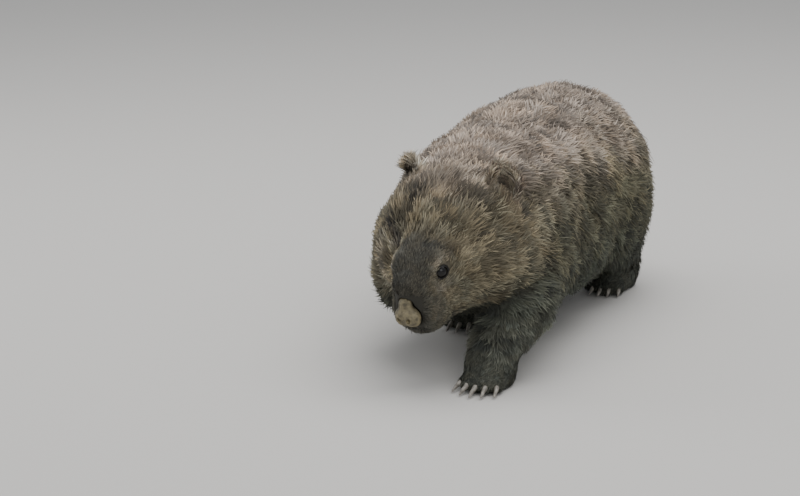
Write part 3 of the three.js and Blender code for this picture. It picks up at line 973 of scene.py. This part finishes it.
# A smooth copy of some nodes as one piece
def smooth_copy(name, nodes, levels):
    made = new_object(name, *joined_arrays(nodes))
    weld(made.data)
    finer = made.modifiers.new("finer", "SUBSURF")
    finer.levels = levels
    finer.render_levels = levels
    apply_modifiers(made)
    made.data.shade_smooth()
    return made


EYE_COLUMNS = 40
EYE_ROWS = 24


def make_eye(side):
    sphere = bmesh.new()
    bmesh.ops.create_uvsphere(
        sphere, u_segments=EYE_COLUMNS, v_segments=EYE_ROWS, radius=EYE_RADIUS
    )
    mesh = bpy.data.meshes.new("eyeball_" + side)
    sphere.to_mesh(mesh)
    sphere.free()
    mesh.transform(Matrix.Translation(Vector(eye_place[side])))
    mesh.shade_smooth()
    return in_scene("eyeball_" + side, mesh)


# Lids. Places on a lid are shares of the eye's radius, across and up from the middle of the opening.
EYE_OUT = (0.82, -0.52, 0.2)  # where the left eye looks, in the head
LID_SHEETS = (0.0004, 0.0012)  # heights of a lid's two faces over the eye
LID_WIDTH = 1.02  # half the length of the opening
LID_OPEN = {"upper": 0.74, "lower": 0.80}
LID_REACH = 1.25
LID_EASE = 1.3
LID_BEND = 1.15
LID_ROWS = 7
LID_COLUMNS = 29


# A lid is a part of a thin shell round the eye, from the rim of the opening back into the skin.
def make_lid(side, kind):
    sign = 1.0 if side == "left" else -1.0
    out = unit(from_head(sign * EYE_OUT[0], EYE_OUT[1], EYE_OUT[2]) - head_origin)
    across = unit(np.cross(head_up, out))
    up = np.cross(out, across)
    points = []
    for thick in LID_SHEETS:
        radius = EYE_RADIUS + thick
        for row in range(LID_ROWS):
            for column in range(LID_COLUMNS):
                x = LID_WIDTH * (2.0 * column / (LID_COLUMNS - 1) - 1.0)
                rim = LID_OPEN[kind] * math.sqrt(max(0.0, 1.0 - (x / LID_WIDTH) ** 2))
                y = rim + (LID_REACH - rim) * (row / (LID_ROWS - 1)) ** LID_EASE
                y = y if kind == "upper" else -y
                angle = math.hypot(x, y) * LID_BEND
                flat = (across * x + up * y) / max(1e-6, math.hypot(x, y))
                way = out * math.cos(angle) + flat * math.sin(angle)
                points.append(eye_place[side] + radius * way)
    made = new_object(f"{kind}_lid_{side}", np.array(points), lid_faces())
    made.data.shade_smooth()
    return made


def lid_faces():
    faces = []
    sheet = LID_ROWS * LID_COLUMNS
    for row in range(LID_ROWS - 1):
        for column in range(LID_COLUMNS - 1):
            a = row * LID_COLUMNS + column
            inner = (a, a + 1, a + LID_COLUMNS + 1, a + LID_COLUMNS)
            faces += [inner, tuple(i + sheet for i in reversed(inner))]
    for column in range(LID_COLUMNS - 1):
        faces.append((column, column + sheet, column + 1 + sheet, column + 1))
    return faces


# Whiskers: thin dark hairs on the upper lip, each a three-sided tube that thins to its tip
WHISKERS_A_SIDE = 14
WHISKER_RADIUS = 0.00017
WHISKER_LENGTHS = (0.018, 0.034)
WHISKER_STEPS = 5
WHISKER_PLACE = (0.024, -0.066, -0.055)  # of the foremost ones, in the head
WHISKER_ROWS = 0.025  # how far back they go
WHISKER_HEIGHTS = (-0.010, 0.010)
WHISKER_SPREAD = 0.3
WHISKER_TAPER = 0.8
WHISKER_BACK = (-0.4, 0.6)
WHISKER_DROOP = (0.1, 0.6)
WHISKER_SAG = np.array([0.0, 0.0, 0.3])


def make_whiskers():
    points, faces = [], []
    x, y, z = WHISKER_PLACE
    for sign in (1.0, -1.0):
        for _ in range(WHISKERS_A_SIDE):
            back = rng.uniform(0.0, WHISKER_ROWS)
            beside = sign * (x + WHISKER_SPREAD * back)
            start = from_head(beside, y + back, z + rng.uniform(*WHISKER_HEIGHTS))
            way = head_left * sign + head_back * rng.uniform(*WHISKER_BACK)
            way = unit(way - head_up * rng.uniform(*WHISKER_DROOP))
            length = rng.uniform(*WHISKER_LENGTHS)
            faces += whisker_faces(len(points))
            for k in range(WHISKER_STEPS):
                t = k / (WHISKER_STEPS - 1)
                centre = start + way * length * t - WHISKER_SAG * length * t * t
                for corner in range(3):
                    turn = 2.0 * math.pi * corner / 3.0
                    side = head_up * math.cos(turn) + head_back * math.sin(turn)
                    points.append(centre + side * WHISKER_RADIUS * (1.0 - WHISKER_TAPER * t))
    return new_object("whiskers", np.array(points), faces)


def whisker_faces(base):
    faces = []
    for k in range(WHISKER_STEPS - 1):
        for corner in range(3):
            a = base + 3 * k + corner
            b = base + 3 * k + (corner + 1) % 3
            faces.append((a, b, b + 3, a + 3))
    faces.append((base, base + 2, base + 1))
    tip = base + 3 * (WHISKER_STEPS - 1)
    faces.append((tip, tip + 1, tip + 2))
    return faces


# Camera, floor and light
def make_camera():
    a, e = CAMERA_AZIMUTH, CAMERA_HEIGHT_ANGLE
    toward = np.array([math.sin(a) * math.cos(e), -math.cos(a) * math.cos(e), math.sin(e)])
    right = np.array([math.cos(a), math.sin(a), 0.0])
    up = np.cross(right, -toward)
    aim = np.array([0.0, 0.0, AIM_HEIGHT]) + right * CAMERA_AIM[0] + up * CAMERA_AIM[1]
    camera = in_scene("camera", bpy.data.cameras.new("camera"))
    camera.location = aim + toward * CAMERA_DISTANCE
    camera.rotation_euler = Vector(-toward).to_track_quat("-Z", "Y").to_euler()
    camera.data.sensor_width = SENSOR
    camera.data.lens = FOCAL_PIXELS * SENSOR / IMAGE_WIDTH
    bpy.context.scene.camera = camera


FLOOR_HALF = 6.0
SKY_COLOUR = (0.93, 0.96, 1.0, 1.0)
SKY_STRENGTH = 0.55
LIT_PLACE = Vector((0.0, 0.0, 0.15))
# Soft lamps: name, place, size in metres and power in watts
LAMPS = (
    ("overhead", (0.3, 0.4, 3.2), 3.2, 95.0),
    ("front", (1.8, -3.0, 2.2), 2.4, 32.0),
    ("rim", (-2.6, -0.4, 1.3), 1.6, 16.0),
)


def make_stage():
    h = FLOOR_HALF
    floor = new_object("floor", [(-h, -h, 0), (h, -h, 0), (h, h, 0), (-h, h, 0)], [(0, 1, 2, 3)])
    floor.data.materials.append(plain_material("floor", FLOOR_TONE, 0.9))
    world = bpy.data.worlds.new("soft_light")
    bpy.context.scene.world = world
    world.use_nodes = True
    world.node_tree.nodes["Background"].inputs["Color"].default_value = SKY_COLOUR
    world.node_tree.nodes["Background"].inputs["Strength"].default_value = SKY_STRENGTH
    for name, place, size, power in LAMPS:
        lamp = bpy.data.lights.new(name, "AREA")
        lamp.size = size
        lamp.energy = power
        made = in_scene(name, lamp)
        made.location = place
        made.rotation_euler = (LIT_PLACE - Vector(place)).to_track_quat("-Z", "Y").to_euler()


def main():
    skin_look = painted_material("skin", 0.9)
    fur_look = painted_material("fur", 0.78)
    skin, points, normals, coat = make_skin()
    skin.data.materials.append(skin_look)
    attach(skin, "root")
    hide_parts(*FLESH)
    for piece in make_coat(skin, points, normals, coat, fur_look):
        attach(piece, "root")

    nose = smooth_copy("nose_pad", ["nose"], 2)
    nose.data.materials.append(nose_material())
    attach(nose, "root")
    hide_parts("nose")

    eye_look = plain_material("eye", EYE_TONE, 0.1, Specular_IOR_Level=0.35)
    lid_look = plain_material("lid", LID_TONE, 0.6)
    for side in SIDES:
        eye = make_eye(side)
        eye.data.materials.append(eye_look)
        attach(eye, "root")
        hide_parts("eye_" + side)
        for kind in LID_OPEN:
            lid = make_lid(side, kind)
            lid.data.materials.append(lid_look)
            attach(lid, "root")

    horn = claw_material()
    for foot in FEET:
        start = foot.replace("foot", "claw")
        nodes = sorted(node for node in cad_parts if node.startswith(start))
        claws = smooth_copy("claws_" + foot, nodes, 1)
        claws.data.materials.append(horn)
        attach(claws, "root")
        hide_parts(*nodes)

    whiskers = make_whiskers()
    whiskers.data.materials.append(plain_material("whisker", WHISKER_TONE, 0.5))
    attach(whiskers, "root")

    make_stage()
    make_camera()
    write_size()


main()
